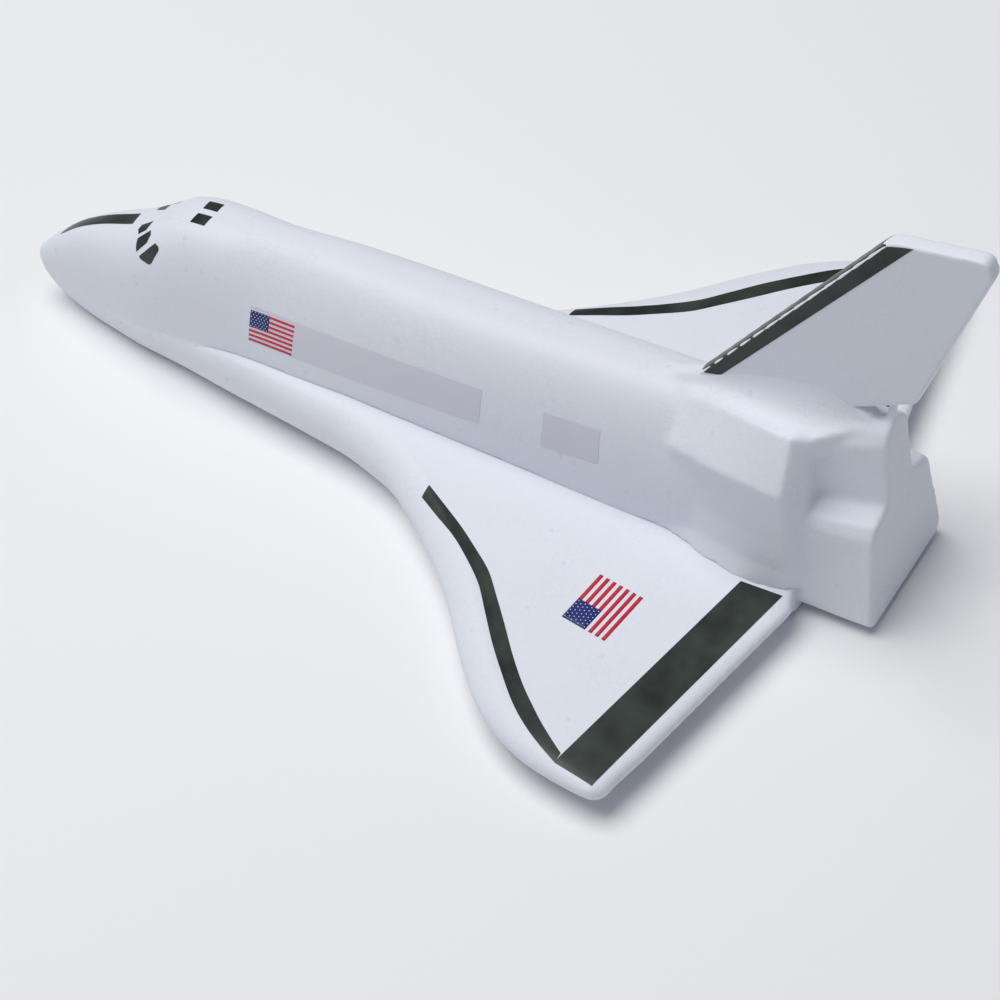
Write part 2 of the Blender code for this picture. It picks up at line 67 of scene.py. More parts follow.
STATION, ROOT, EDGE, EDGE_Z, UNDER, UNDER_Z, ROUND, TOP, BOX, TAPER = range(10)
HULL = (
    (0.0, 1.2, 1.3, 14.4, 0.5, 13.2, 9.0, 15.6, 2.57, 0.06),
    (1.5, 2.3, 2.4, 14.0, 0.9, 9.8, 9.0, 18.2, 2.58, 0.06),
    (4.0, 3.9, 4.0, 13.6, 1.4, 6.8, 9.0, 20.3, 2.6, 0.05),
    (8.0, 5.3, 5.4, 13.4, 2.0, 4.0, 9.0, 23.8, 2.62, 0.05),
    (14.0, 7.0, 7.2, 13.2, 2.8, 1.9, 9.0, 28.0, 2.66, 0.04),
    (22.0, 9.1, 9.4, 13.0, 4.0, 0.6, 9.0, 33.1, 2.7, 0.03),
    (32.0, 11.3, 11.7, 12.8, 5.4, 0.0, 9.0, 37.6, 2.8, 0.01),
    (44.0, 13.8, 14.5, 12.6, 7.0, 0.0, 9.0, 41.7, 2.9, 0.0),
    (54.0, 15.2, 15.9, 12.6, 8.0, 0.0, 9.0, 46.4, 2.9, 0.0),
    (63.0, 16.2, 17.4, 12.8, 9.0, 0.0, 9.0, 51.5, 2.9, 0.01),
    (72.0, 17.0, 19.2, 13.0, 10.0, 0.0, 9.0, 53.2, 2.88, 0.04),
    (80.8, 17.6, 20.9, 13.2, 11.0, 0.0, 9.0, 53.4, 2.8, 0.08),
    (98.2, 18.5, 23.8, 13.0, 12.5, 0.0, 9.0, 53.8, 2.6, 0.17),
    (114.6, 19.1, 26.4, 12.6, 14.5, 0.0, 9.0, 53.8, 2.62, 0.16),
    (125.8, 19.3, 28.2, 12.2, 17.0, 0.0, 9.0, 53.3, 2.65, 0.15),
    (135.7, 19.4, 30.9, 11.8, 20.5, 0.0, 9.0, 52.7, 2.68, 0.14),
    (145.9, 19.4, 34.4, 11.4, 25.0, 0.1, 9.0, 52.2, 2.7, 0.13),
    (157.8, 19.4, 41.9, 11.0, 33.0, 0.5, 9.0, 51.7, 2.72, 0.13),
    (170.0, 19.4, 51.1, 10.6, 42.5, 1.0, 9.0, 51.3, 2.75, 0.13),
    (183.0, 19.5, 62.7, 10.2, 54.5, 1.8, 9.0, 50.9, 2.74, 0.13),
    (196.2, 19.6, 77.1, 9.8, 68.5, 2.8, 9.0, 50.6, 2.72, 0.13),
    (208.3, 19.7, 88.3, 9.4, 80.5, 3.8, 8.4, 50.4, 2.7, 0.13),
    (218.9, 19.7, 94.6, 9.2, 89.0, 4.6, 7.2, 50.2, 2.68, 0.13),
    (229.7, 19.8, 98.0, 9.0, 94.0, 5.2, 5.4, 50.0, 2.65, 0.13),
    (243.0, 19.8, 99.8, 8.9, 97.2, 6.0, 3.4, 50.0, 2.62, 0.13),
    (258.0, 19.8, 100.6, 8.6, 98.0, 6.2, 2.8, 50.0, 2.62, 0.13),
)

TIP_CORNER = (245.0, 4.6)
TRAIL_TIP = (250.4, 95.8)
TRAIL_ROOT = (262.9, 27.6)
TRAIL_NOTCH = (260.6, 21.6)
TRAIL_ROUND = 2.4
TRAIL_UNDER_Z = 6.2
TRAIL_STEP = 1.5

# Pods: station, ridge half width and height, crease half width and height, foot half width, dip height.
PODS = (
    (221.0, 6.0, 46.0, 13.6, 37.6, 19.4, 46.6),
    (228.6, 7.4, 52.2, 17.0, 40.8, 21.6, 50.2),
    (238.0, 10.0, 53.6, 19.6, 41.6, 24.0, 50.6),
    (248.0, 12.6, 54.8, 21.4, 42.0, 25.2, 51.0),
    (BULKHEAD, 15.0, 55.8, 22.4, 42.0, 23.6, 51.4),
)
# The pods' rear face slopes inwards to this row, where the engine block comes out.
PODS_END = (262.4, 10.8, 53.0, 17.8, 34.5, 20.0, 52.4)
# Engine block outline: half width and height where it leaves the hull, then at its rear face.
BLOCK = (
    (19.6, 3.4, 18.4, 1.2),
    (20.5, 6.8, 20.6, 4.0),
    (18.6, 30.0, 16.2, 29.6),
    (17.2, 32.2, 13.8, 33.0),
    (12.0, 32.8, 8.4, 34.0),
    (11.2, 34.0, 6.8, 35.4),
    (10.6, 48.6, 6.2, 53.4),
    (8.2, 51.6, 4.2, 56.2),
    (3.4, 52.6, 1.6, 57.8),
)
# Hollow curve at the fin's foot: station, top height against the fin and radius.
FIN_FOOT = (
    (216.0, 50.6, 1.5),
    (226.0, 54.0, 3.5),
    (232.0, 57.0, 5.0),
    (240.0, 60.0, 7.0),
    (250.0, 62.5, 9.0),
    (260.0, 63.5, 10.0),
    (266.0, 61.6, 7.0),
    (270.0, 59.4, 4.2),
    (273.5, 58.0, 2.0),
)
FLASH = ((276.5, 55.0), (279.6, 55.0), (279.8, 63.0), (277.2, 62.0))    # bit of foam left under the fin
FLASH_HALF = 0.9

# Fin outline: station, height and the radius of the corner.
FIN = (
    (226.0, 53.2, 0.0), (257.0, 55.0, 0.0), (266.0, 57.6, 4.0), (272.0, 60.1, 4.0), (285.4, 66.2, 1.2),
    (304.7, 111.6, 2.2), (302.9, 116.0, 2.2), (279.4, 114.1, 6.5),
)
FIN_HALF = 2.2

HOOK = ((20.5, 5.2), (20.5, 4.0), (23.2, 4.0), (23.2, 1.2), (29.0, 1.2), (29.0, 2.3),
        (25.0, 2.6), (25.0, 4.0), (32.5, 4.0), (32.5, 5.2))
HOOK_HALF = 1.1
HOOK_POCKET = (18.5, 36.5, 2.8, 5.5)


def point(station, x, z):
    return Vector((x * MM, (station - LENGTH / 2) * MM, z * MM))


def read(table, column, station):
    """Reads one column of a table at any station, on a smooth curve that never overshoots its rows."""
    last = len(table) - 1
    station = min(max(station, table[0][0]), table[last][0])
    k = max(i for i in range(last) if table[i][0] <= station)

    def slope(i):
        i = min(max(i, 0), last - 1)
        return (table[i + 1][column] - table[i][column]) / (table[i + 1][0] - table[i][0])

    def tangent(i):
        before, after = slope(i - 1), slope(i)
        return 0.0 if before * after <= 0 else 2 * before * after / (before + after)

    span = table[k + 1][0] - table[k][0]
    t = (station - table[k][0]) / span
    a, b = table[k][column], table[k + 1][column]
    return (a * (1 + 2 * t) * (1 - t) ** 2 + b * t * t * (3 - 2 * t)
            + span * t * (1 - t) * (tangent(k) * (1 - t) - tangent(k + 1) * t))


def hull(column, station):
    return read(HULL, column, station)


def smooth_step(low, high, value):
    t = min(1.0, max(0.0, (value - low) / (high - low)))
    return t * t * (3 - 2 * t)


def wing_top(station):
    return WING_TOP - WING_SLOPE * (station - 254.0)


def root_height(station):
    """Height of the fuselage's foot, which stands on the wing's top surface aft of the nose."""
    low, high, start, end = SHELF
    shelf = min(wing_top(station), start + (end - start) * smooth_step(low, high, station))
    return max(shelf, hull(EDGE_Z, station) + 0.3)


def seam_height(station):
    low, high = SEAM_RAMP
    climb = min(1.0, max(0.0, (station - low) / (high - low)))
    return SEAM + climb * (root_height(max(station, high)) - SEAM)


def rounded(outline):
    """An outline whose corners, given with their radii, become arcs."""
    points = []
    for k, (s, z, radius) in enumerate(outline):
        if radius == 0:
            points.append((s, z))
            continue
        before, after = Vector(outline[k - 1][:2]), Vector(outline[(k + 1) % len(outline)][:2])
        corner = Vector((s, z))
        back, on = (before - corner).normalized(), (after - corner).normalized()
        half = back.angle(on) / 2
        reach = radius / math.tan(half)
        start, end = corner + back * reach, corner + on * reach
        middle = corner + (back + on).normalized() * radius / math.sin(half)
        sweep = math.pi - 2 * half
        count = max(2, round(math.degrees(sweep) / 12))
        for n in range(count + 1):
            share = n / count
            arm = (start - middle) * math.sin((1 - share) * sweep) + (end - middle) * math.sin(share * sweep)
            points.append(tuple(middle + arm / math.sin(sweep)))
    return points


def side_curve(station, u):
    """Half width and height of the side from the underside, u = 0, past the widest point, 0.5, to the top, 1."""
    edge, edge_z = hull(EDGE, station), hull(EDGE_Z, station)
    turn = math.pi * abs(u - 0.5)
    if u < 0.5:
        inner, far = hull(UNDER, station), hull(UNDER_Z, station)
    else:
        inner, far = max(hull(ROOT, station), edge - hull(ROUND, station)), root_height(station)
    return inner + (edge - inner) * math.cos(turn), edge_z + (far - edge_z) * math.sin(turn)


def side_share(station, height):
    low, high = 0.0, 1.0
    for _ in range(30):
        middle = (low + high) / 2
        if side_curve(station, middle)[1] < height:
            low = middle
        else:
            high = middle
    return high


# --- Mesh helpers --------------------------------------------------------------------------------------------------

def mesh_object(name, bm, smooth=True):
    mesh = bpy.data.meshes.new(name)
    bm.to_mesh(mesh)
    bm.free()
    obj = bpy.data.objects.new(name, mesh)
    bpy.context.scene.collection.objects.link(obj)
    if smooth:
        mesh.shade_smooth()
    return obj


def loft(rings, bm=None):
    """Adds a closed body through rings of equal length."""
    bm = bm or bmesh.new()
    rows = [[bm.verts.new(p) for p in ring] for ring in rings]
    for a, b in zip(rows, rows[1:]):
        for k in range(len(a)):
            n = (k + 1) % len(a)
            bm.faces.new((a[k], a[n], b[n], b[k]))
    bm.faces.new(rows[0])
    bm.faces.new(list(reversed(rows[-1])))
    return bm


def mirrored(half):
    return half + [Vector((-p.x, p.y, p.z)) for p in reversed(half) if p.x > 1e-9]


def plate(outline, half, bm=None):
    return loft([[point(s, x, z) for s, z in outline] for x in (-half, half)], bm)


def spaced(start, end, step):
    count = max(1, round((end - start) / step))
    return [start + (end - start) * k / count for k in range(count + 1)]


def applied(obj):
    """Bakes the object's modifiers into its mesh."""
    graph = bpy.context.evaluated_depsgraph_get()
    mesh = bpy.data.meshes.new_from_object(obj.evaluated_get(graph))
    obj.modifiers.clear()
    obj.data = mesh
    return obj


def moulded(name, bm, grain, passes, soft=()):
    """Unites overlapping closed bodies into one skin with softly rounded edges, as foam leaves its mould.

    Soft rows give two stations and the extra smoothing passes between them."""
    bmesh.ops.remove_doubles(bm, verts=bm.verts, dist=2e-6)
    bmesh.ops.triangulate(bm, faces=bm.faces)
    bmesh.ops.recalc_face_normals(bm, faces=bm.faces)
    obj = mesh_object(name, bm)
    skin = obj.modifiers.new("Skin", "REMESH")
    skin.mode = "VOXEL"
    skin.voxel_size = grain * MM
    applied(obj)
    soften = obj.modifiers.new("Soften", "SMOOTH")
    soften.factor = 0.5
    soften.iterations = passes
    for front, rear, more in soft:
        group = obj.vertex_groups.new(name="soft")
        for vert in obj.data.vertices:
            station = vert.co.y / MM + LENGTH / 2
            share = smooth_step(front - 5, front + 2, station) * (1 - smooth_step(rear - 2, rear + 5, station))
            if share > 0:
                group.add([vert.index], share, "REPLACE")
        extra = obj.modifiers.new("Softer", "SMOOTH")
        extra.factor = 0.5
        extra.iterations = more
        extra.vertex_group = group.name
    applied(obj)
    obj.vertex_groups.clear()
    obj.data.shade_smooth()
    return obj


# --- Foam mouldings --------------------------------------------------------------------------------------------------

def lower_ring(station, edge, inward, side, top, back):
    along, across = inward
    belly = min(BELLY_HALF, side[0][0] - 0.3)
    foot = side[0][1] if station < 40.0 else 0.0
    half = [point(back, 0.0, foot), point(back, belly, foot)]
    for x, z in side:
        reach = edge - x
        half.append(point(station + reach * along, edge + reach * across, z))
    half.append(point(back, 0.0, top(back)))
    half[-2].z = top(half[-2].y / MM + LENGTH / 2) * MM
    return mirrored(half)


def leading_rings(step):
    stations = spaced(LOWER_START, 20, step / 2) + spaced(20, TIP_CORNER[0], step)[1:]
    for station in stations:
        grow = (hull(EDGE, station + 0.5) - hull(EDGE, station - 0.5)) * min(1.0, max(0.0, (station - 110) / 40))
        size = math.hypot(1.0, grow)
        top = min(seam_height(station) + OVERLAP, root_height(station))
        share = side_share(station, top)
        side = [side_curve(station, share * k / 16) for k in range(17)]
        edge, inward = hull(EDGE, station), (grow / size, -1 / size)
        yield lower_ring(station, edge, inward, side, lower_top, station + (edge - side[-1][0]) * inward[0])


def lower_top(station):
    return min(seam_height(station) + OVERLAP, root_height(station))


def trailing_side(edge, under_z, station, rounding):
    top = wing_top(station)
    middle, tall = (top + under_z) / 2, (top - under_z) / 2
    turns = [math.pi * (k / 16 - 0.5) for k in range(17)]
    return [(edge - rounding * (1 - math.cos(t)), middle + tall * math.sin(t)) for t in turns]


def trailing_rings():
    start, radius = TIP_CORNER
    back = start + 0.3
    centre = (start + 0.6, hull(EDGE, start) - radius)
    slope = math.atan2(TRAIL_ROOT[0] - TRAIL_TIP[0], TRAIL_TIP[1] - TRAIL_ROOT[1])
    for k in range(1, 9):
        turn = (math.pi / 2 + slope) * k / 8
        away = (math.sin(turn), math.cos(turn))
        station, edge = centre[0] + radius * away[0], centre[1] + radius * away[1]
        side = trailing_side(edge, TRAIL_UNDER_Z, station, TRAIL_ROUND)
        yield lower_ring(station, edge, (-away[0], -away[1]), side, wing_top, back)
    for k in range(1, 7):
        station = TRAIL_TIP[0] + (TRAIL_ROOT[0] - TRAIL_TIP[0]) * k / 6
        edge = TRAIL_TIP[1] + (TRAIL_ROOT[1] - TRAIL_TIP[1]) * k / 6
        side = trailing_side(edge, TRAIL_UNDER_Z, station, TRAIL_ROUND)
        back += TRAIL_STEP
        yield lower_ring(station, edge, (-math.cos(slope), -math.sin(slope)), side, wing_top, back)
    station, edge = TRAIL_NOTCH
    yield lower_ring(station, edge, (0.0, -1.0), trailing_side(edge, 0.8, station, 0.0), wing_top, station)


def cut(target, bm):
    """Cuts a closed body away from the target and leaves crisp rims."""
    bmesh.ops.recalc_face_normals(bm, faces=bm.faces)
    tool = mesh_object("cutter", bm, smooth=False)
    modifier = target.modifiers.new("Cut", "BOOLEAN")
    modifier.operation = "DIFFERENCE"
    modifier.object = tool
    modifier.solver = "MANIFOLD"
    applied(target)
    bpy.data.objects.remove(tool)
    target.data.shade_smooth()
    target.data.set_sharp_from_angle(angle=math.radians(50))


def seam_cutter(level, opening):
    """A slab that reaches from the seam to a level above or below it, for trimming a moulding under the nose."""
    low, high = SEAM_RAMP
    top = root_height(high)
    return plate(((-5.0, SEAM + opening), (low - 8, SEAM + opening), (low, SEAM), (high, top), (high, level),
                  (-5.0, level)), 40)


def lower_foam(step=3.0):
    body = moulded("wing_and_belly_foam", loft([*leading_rings(step), *trailing_rings()]), 0.8, 4)
    cut(body, seam_cutter(40.0, -SEAM_OPEN / 2))
    front, rear, half, roof = HOOK_POCKET
    cut(body, plate(((front, -5), (rear, -5), (rear, roof), (front, roof)), half))
    return body


def upper_ring(station):
    """A ring of the upper moulding: the side down to below the seam, or straight down into the wing."""
    low, crown, root = root_height(station), hull(TOP, station), hull(ROOT, station)
    box, taper = hull(BOX, station), hull(TAPER, station)
    nose = station < SEAM_RAMP[1] + 3
    bed = 0.15 * smooth_step(SEAM_RAMP[1] - 2, SEAM_RAMP[1], station)
    floor = seam_height(station) - (OVERLAP if nose else SINK)
    half = [point(station, 0.0, max(floor, hull(UNDER_Z, station)))]
    share = side_share(station, floor)
    for k in range(13):
        x, z = side_curve(station, share + (1 - share) * k / 13) if nose else (root, floor)
        half.append(point(station, x - bed, z - bed))
    for k in range(33):
        rise = math.sin(math.pi / 2 * k / 32)
        x = (root - taper * (crown - low) * rise) * max(0.0, 1 - rise ** box) ** (1 / box)
        half.append(point(station, x if k < 32 else 0.0, max(low + (crown - low) * rise, floor)))
    return mirrored(half)


def pod_ring(station, ridge, ridge_z, crease, crease_z, foot, dip):
    floor = wing_top(station) - SINK
    flare, tall = foot - crease, crease_z - floor
    return mirrored([point(station, x, z) for x, z in
                     ((0.0, floor), (foot, floor), (crease + 0.45 * flare - 0.6, floor + 0.18 * tall),
                      (crease + 0.12 * flare - 0.7, floor + 0.45 * tall), (crease - 0.4, floor + 0.75 * tall),
                      (crease, crease_z), (ridge, ridge_z), (ridge * 0.5, (ridge_z + dip) / 2 - 0.4), (0.0, dip))])


def block_ring(station, first, lean):
    half = [row[first:first + 2] for row in BLOCK]
    half = [(0.0, half[0][1])] + half + [(0.0, half[-1][1])]
    height = BLOCK[-1][3]
    return mirrored([point(station - lean * z / height, x, z) for x, z in half])


def fin_foot_ring(station, top, radius):
    half = FIN_HALF - 0.1
    side = [(half + radius * (1 - math.cos(t)), top - radius * math.sin(t))
            for t in (math.pi / 2 * k / 8 for k in range(9))]
    side += [(half + radius, top - radius - 6)]
    return [point(station, x, z) for x, z in side] + [point(station, -x, z) for x, z in reversed(side)]


def upper_foam(step=2.0):
    stations = [0.0, 0.25, 0.6, 1.0, 1.5, 2.2, 3.0] + spaced(4, BULKHEAD - 2, step)
    bm = loft([upper_ring(s) for s in stations])
    pods = [[s] + [read(PODS, column, s) for column in range(1, 7)] for s in spaced(PODS[0][0], BULKHEAD, 1.5)]
    loft([pod_ring(*row) for row in pods + [PODS_END]], bm)
    feet = [[s] + [read(FIN_FOOT, column, s) for column in (1, 2)] for s in spaced(FIN_FOOT[0][0], FIN_FOOT[-1][0], 2)]
    loft([fin_foot_ring(*row) for row in feet], bm)
    loft([block_ring(TRAIL_NOTCH[0] - 6, 0, 0.0), block_ring(BLOCK_END, 2, BLOCK_LEAN)], bm)
    plate(FLASH, FLASH_HALF, bm)
    body = moulded("fuselage_foam", bm, 0.75, 5, ((216.0, 232.0, 16), (262.0, 290.0, 7)))
    cut(body, seam_cutter(-10.0, SEAM_OPEN / 2))
    return body


def fin_foam():
    return moulded("fin_foam", plate(rounded(FIN), FIN_HALF), 0.55, 14)


# --- Materials -------------------------------------------------------------------------------------------------------

FOAM_WHITE = (0.83, 0.855, 0.93)
# painted shade for the creases between beads and the open pits
FOAM_CREASE_SHADE = (0.70, 0.73, 0.85)
# painted greenish sheen on the black film
INK_BLACK = (0.012, 0.018, 0.015)
BLACK_FILM_SHEEN = (0.030, 0.045, 0.035)
INK_RED = (0.62, 0.02, 0.045)
INK_BLUE = (0.012, 0.022, 0.16)
INK_WHITE = (0.75, 0.77, 0.84)
FILM = (0.70, 0.70, 0.79)


class Group:
    """A shader node group under construction, with named sockets."""

    def __init__(self, name, inputs, outputs):
        self.tree = bpy.data.node_groups.new(name, "ShaderNodeTree")
        kinds = {"color": "NodeSocketColor", "value": "NodeSocketFloat", "vector": "NodeSocketVector"}
        for label, kind, default in inputs:
            socket = self.tree.interface.new_socket(label, in_out="INPUT", socket_type=kinds[kind])
            if default is not None:
                socket.default_value = default
        for label, kind in outputs:
            self.tree.interface.new_socket(label, in_out="OUTPUT", socket_type=kinds[kind])
        self.enter = self.tree.nodes.new("NodeGroupInput")
        self.leave = self.tree.nodes.new("NodeGroupOutput")


def node(tree, kind, links=(), **settings):
    """Adds a node. Settings go to its properties and sockets, by name or by number after an underscore."""
    made = tree.nodes.new(kind)
    for key, value in settings.items():
        if key.startswith("_"):
            made.inputs[int(key[1:])].default_value = value
        elif hasattr(made, key):
            setattr(made, key, value)
        else:
            made.inputs[key.replace("_", " ")].default_value = value
    for socket, source in links:
        tree.links.new(source, made.inputs[socket])
    return made


def ramp(tree, source, stops):
    made = node(tree, "ShaderNodeValToRGB", [("Fac", source)])
    bar = made.color_ramp
    while len(bar.elements) < len(stops):
        bar.elements.new(0.5)
    for element, (place, colour) in zip(bar.elements, stops):
        element.position = place
        element.color = (*colour, 1.0) if len(colour) == 3 else colour
    return made


def grey(value):
    return (value, value, value)


def build_beads():
    """Expanded beads pressed together: a faint cell pattern with creases, fine grain and a few open pits. The creases
    and pits get a painted shade colour.
    """
    g = Group("expanded_beads",
              [("Bead Size", "value", 2.6), ("Colour", "color", (*FOAM_WHITE, 1)),
               ("Crease Colour", "color", (*FOAM_CREASE_SHADE, 1)), ("Crease", "value", 0.35), ("Pits", "value", 0.5)],
              [("Colour", "color"), ("Height", "value"), ("Roughness", "value")])
    t, enter = g.tree, g.enter
    place = node(t, "ShaderNodeTexCoord").outputs["Object"]
    metres = node(t, "ShaderNodeMath", [(1, enter.outputs["Bead Size"])], operation="DIVIDE", _0=1000.0)
    where = node(t, "ShaderNodeVectorMath", [(0, place), ("Scale", metres.outputs[0])], operation="SCALE")
    drift = node(t, "ShaderNodeTexNoise", [("Vector", where.outputs[0])], Scale=0.7, Detail=2.0)
    bent = node(t, "ShaderNodeVectorMath", [(0, where.outputs[0]), (1, drift.outputs["Color"])], operation="ADD")
    cell = node(t, "ShaderNodeTexVoronoi", [("Vector", bent.outputs[0])], feature="DISTANCE_TO_EDGE", Scale=1.0)
    dome = node(t, "ShaderNodeTexVoronoi", [("Vector", bent.outputs[0])], feature="F1", Scale=1.0)
    crease = node(t, "ShaderNodeMapRange", [("Value", cell.outputs["Distance"])], interpolation_type="SMOOTHSTEP",
                  _1=0.0, _2=0.10, _3=1.0, _4=0.0)
    patch = node(t, "ShaderNodeTexNoise", [("Vector", where.outputs[0])], Scale=0.16, Detail=3.0)
    shown = node(t, "ShaderNodeMapRange", [("Value", patch.outputs["Fac"])], _1=0.42, _2=0.68, _3=0.15, _4=1.0)
    line = node(t, "ShaderNodeMath", [(0, crease.outputs[0]), (1, shown.outputs[0])], operation="MULTIPLY")
    line = node(t, "ShaderNodeMath", [(0, line.outputs[0]), (1, enter.outputs["Crease"])], operation="MULTIPLY")
    pit = node(t, "ShaderNodeTexVoronoi", [("Vector", where.outputs[0])], feature="F1", Scale=0.62)
    rare = node(t, "ShaderNodeSeparateColor", [("Color", pit.outputs["Color"])])
    chosen = node(t, "ShaderNodeMath", [(0, rare.outputs[0])], operation="LESS_THAN", _1=0.10)
    hole = node(t, "ShaderNodeMapRange", [("Value", pit.outputs["Distance"])], interpolation_type="SMOOTHSTEP",
                _1=0.10, _2=0.26, _3=1.0, _4=0.0)
    hole = node(t, "ShaderNodeMath", [(0, hole.outputs[0]), (1, chosen.outputs[0])], operation="MULTIPLY")
    hole = node(t, "ShaderNodeMath", [(0, hole.outputs[0]), (1, enter.outputs["Pits"])], operation="MULTIPLY")
    grain = node(t, "ShaderNodeTexNoise", [("Vector", where.outputs[0])], Scale=5.5, Detail=3.0, Roughness=0.6)
    mark = node(t, "ShaderNodeMath", [(0, line.outputs[0]), (1, hole.outputs[0])], operation="ADD", use_clamp=True)
    # painted shade in the bead creases and pits
    tint = node(t, "ShaderNodeMix", [("Factor", mark.outputs[0]), (6, enter.outputs["Colour"]),
                                     (7, enter.outputs["Crease Colour"])], data_type="RGBA")
    cloud = node(t, "ShaderNodeMapRange", [("Value", grain.outputs["Fac"])], _1=0.3, _2=0.7, _3=0.965, _4=1.0)
    tint = node(t, "ShaderNodeMix", [(6, tint.outputs[2]), (7, cloud.outputs[0])], data_type="RGBA",
                blend_type="MULTIPLY", _0=1.0)
    bump = node(t, "ShaderNodeMath", [(0, dome.outputs["Distance"]), (1, shown.outputs[0])], operation="MULTIPLY")
    bump = node(t, "ShaderNodeMath", [(0, bump.outputs[0])], operation="MULTIPLY", _1=-0.25)
    bump = node(t, "ShaderNodeMath", [(0, bump.outputs[0]), (1, line.outputs[0])], operation="SUBTRACT")
    bump = node(t, "ShaderNodeMath", [(0, bump.outputs[0]), (1, hole.outputs[0])], operation="SUBTRACT")
    fine = node(t, "ShaderNodeMath", [(0, grain.outputs["Fac"])], operation="MULTIPLY", _1=0.22)
    bump = node(t, "ShaderNodeMath", [(0, bump.outputs[0]), (1, fine.outputs[0])], operation="ADD")
    gloss = node(t, "ShaderNodeMapRange", [("Value", grain.outputs["Fac"])], _1=0.3, _2=0.7, _3=0.42, _4=0.56)
    for label, source in (("Colour", tint.outputs[2]), ("Height", bump.outputs[0]), ("Roughness", gloss.outputs[0])):
        t.links.new(source, g.leave.inputs[label])
    return t


def build_film_tone_and_sheen():
    """Thin printed film: faint waviness, specks and a slightly uneven gloss. The colour drifts in broad waves towards a
    second colour: a painted sheen on the black film, a real shift of tone on the other inks.
    """
    g = Group("film_tone_and_sheen",
              [("Colour", "color", (0.5, 0.5, 0.5, 1)), ("Second Colour", "color", (0.5, 0.5, 0.5, 1)),
               ("Gloss Low", "value", 0.22), ("Gloss High", "value", 0.4)],
              [("Colour", "color"), ("Height", "value"), ("Roughness", "value")])
    t, enter = g.tree, g.enter
    place = node(t, "ShaderNodeTexCoord").outputs["Object"]
    wave = node(t, "ShaderNodeTexNoise", [("Vector", place)], Scale=90.0, Detail=3.0, Roughness=0.5)
    speck = node(t, "ShaderNodeTexNoise", [("Vector", place)], Scale=900.0, Detail=2.0)
    mix = node(t, "ShaderNodeMapRange", [("Value", wave.outputs["Fac"])], _1=0.35, _2=0.7, _3=0.0, _4=1.0)
    # drift towards the second colour: painted sheen on the black film, a real shift of tone on the other inks
    tint = node(t, "ShaderNodeMix", [("Factor", mix.outputs[0]), (6, enter.outputs["Colour"]),
                                     (7, enter.outputs["Second Colour"])], data_type="RGBA")
    gloss = node(t, "ShaderNodeMapRange", [("Value", wave.outputs["Fac"]), (3, enter.outputs["Gloss Low"]),
                                           (4, enter.outputs["Gloss High"])], _1=0.3, _2=0.7)
    bump = node(t, "ShaderNodeMath", [(0, speck.outputs["Fac"])], operation="MULTIPLY", _1=0.25)
    bump = node(t, "ShaderNodeMath", [(0, bump.outputs[0]), (1, wave.outputs["Fac"])], operation="ADD")
    for label, source in (("Colour", tint.outputs[2]), ("Height", bump.outputs[0]), ("Roughness", gloss.outputs[0])):
        t.links.new(source, g.leave.inputs[label])
    return t


BEADS = build_beads()
TONE_AND_SHEEN = build_film_tone_and_sheen()


def material(name, group, values, bump_mm, **shader_values):
    """A Principled material fed by one of the groups, with constants on the shader's own sockets."""
    made = bpy.data.materials.new(name)
    made.use_nodes = True
    t = made.node_tree
    shader = t.nodes["Principled BSDF"]
    look = t.nodes.new("ShaderNodeGroup")
    look.node_tree = group
    for label, value in values.items():
        look.inputs[label].default_value = value
    bump = node(t, "ShaderNodeBump", [("Height", look.outputs["Height"])], Strength=1.0, Distance=bump_mm * MM)
    t.links.new(look.outputs["Colour"], shader.inputs["Base Color"])
    t.links.new(look.outputs["Roughness"], shader.inputs["Roughness"])
    t.links.new(bump.outputs["Normal"], shader.inputs["Normal"])
    for label, value in shader_values.items():
        shader.inputs[label.replace("_", " ")].default_value = value
    return made


def foam_material(name, bead, crease):
    return material(name, BEADS, {"Bead Size": bead, "Crease": crease}, 0.07,
                    Specular_IOR_Level=0.35)


def ink(name, colour, second, low=0.26, high=0.42, level=0.4):
    return material(name, TONE_AND_SHEEN, {"Colour": (*colour, 1), "Second Colour": (*second, 1),
                                 "Gloss Low": low, "Gloss High": high}, 0.02, Specular_IOR_Level=level)


foam_body = foam_material("foam_fuselage", 2.8, 0.30)
foam_wing = foam_material("foam_wing", 2.6, 0.25)
foam_fin = foam_material("foam_fin", 2.4, 0.25)
# the black film drifts towards a painted greenish sheen
black_film = ink("black_film", INK_BLACK, BLACK_FILM_SHEEN)
clear_film = ink("clear_film", FILM, (0.72, 0.72, 0.80), 0.3, 0.45)
red_ink = ink("red_ink", INK_RED, (0.66, 0.04, 0.07))
blue_ink = ink("blue_ink", INK_BLUE, (0.018, 0.03, 0.19))
white_ink = ink("white_ink", INK_WHITE, (0.70, 0.72, 0.80))
hook_plastic = ink("hook_plastic", (0.74, 0.74, 0.70), (0.70, 0.70, 0.67), 0.3, 0.4, 0.5)
weight_steel = ink("weight_steel", (0.50, 0.50, 0.50), (0.56, 0.55, 0.54), 0.3, 0.5, 0.5)
weight_steel.node_tree.nodes["Principled BSDF"].inputs["Metallic"].default_value = 1.0


# --- Foam in place ---------------------------------------------------------------------------------------------------

def dress(obj, materials, slot, *nodes):
    if obj.data.materials:
        obj.data.materials.clear()
    for m in materials:
        obj.data.materials.append(m)
    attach(obj, "root")
    if nodes:
        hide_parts(*nodes)
    return obj


wing = dress(lower_foam(), [foam_wing], "foam", "wing_and_belly")
body = dress(upper_foam(), [foam_body], "foam", "fuselage")
tail = dress(fin_foam(), [foam_fin], "foam", "fin")


# --- Stickers --------------------------------------------------------------------------------------------------------

LIFT = 0.10                 # how far a sticker's face stands off the foam
FILM_THICK = 0.08

